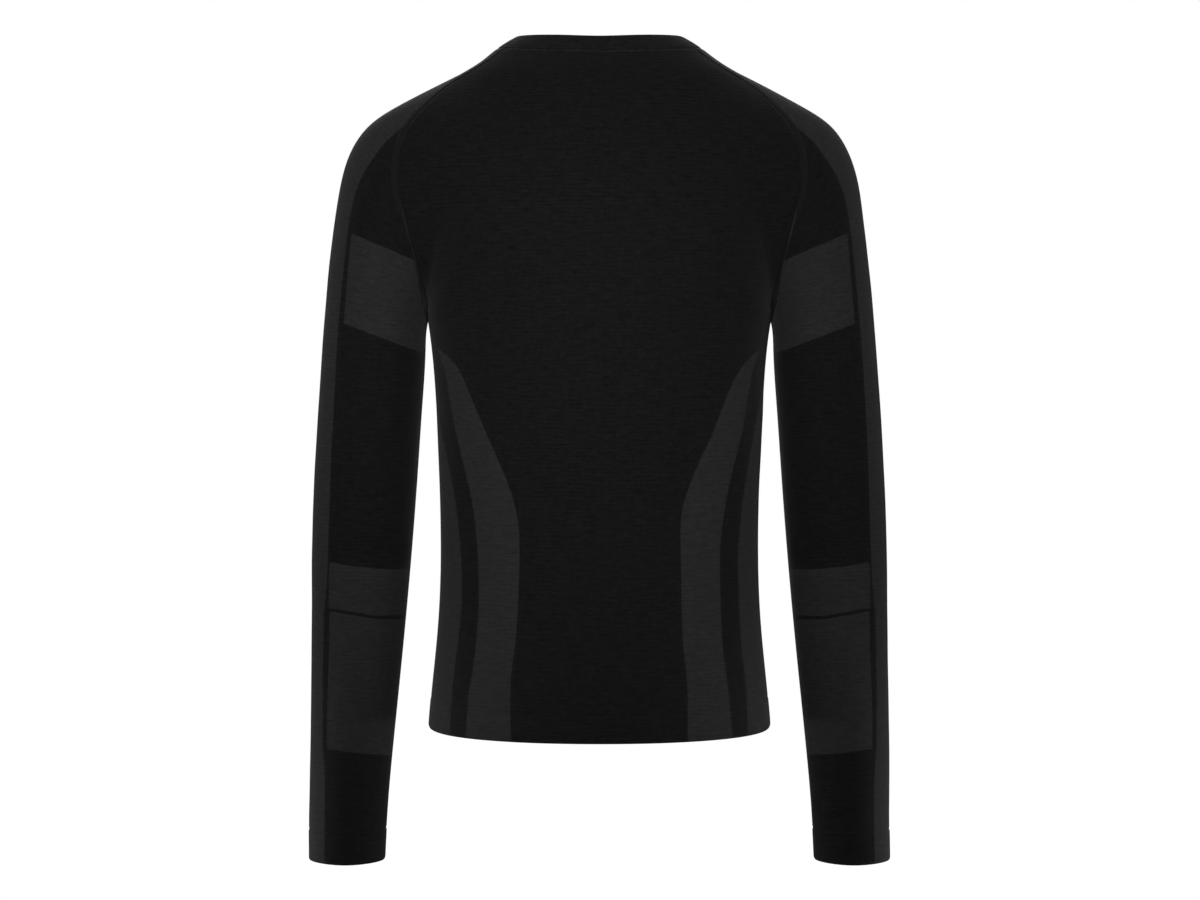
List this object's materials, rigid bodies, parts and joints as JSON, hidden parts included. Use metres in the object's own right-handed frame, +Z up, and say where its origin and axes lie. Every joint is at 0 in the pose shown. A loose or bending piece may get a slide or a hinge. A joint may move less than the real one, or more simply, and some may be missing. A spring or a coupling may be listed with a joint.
{
  "type": "base layer top",
  "caption": "Long-sleeved raglan base layer top with a low round neckband, filled out and hollow as worn, in close-fitting dark knit.",
  "frame": {"origin": "centre of the neck opening, level with the neck ends of the shoulder lines, where the wearer's neck passes through", "axes": "+Z up, +Y to the back of the garment, -Y to its front, +X to the wearer's left sleeve"},
  "size_m": [0.5416, 0.2246, 0.7622],
  "materials": {
    "body_knit": "matt fine knit",
    "sleeve_knit": "matt fine knit",
    "rib_knit": "matt folded knit"
  },
  "bodies": {
    "root": {"back": "body_knit", "front": "body_knit", "sleeve_left": "sleeve_knit", "sleeve_right": "sleeve_knit", "neckband": "rib_knit"}
  },
  "joints": []
}
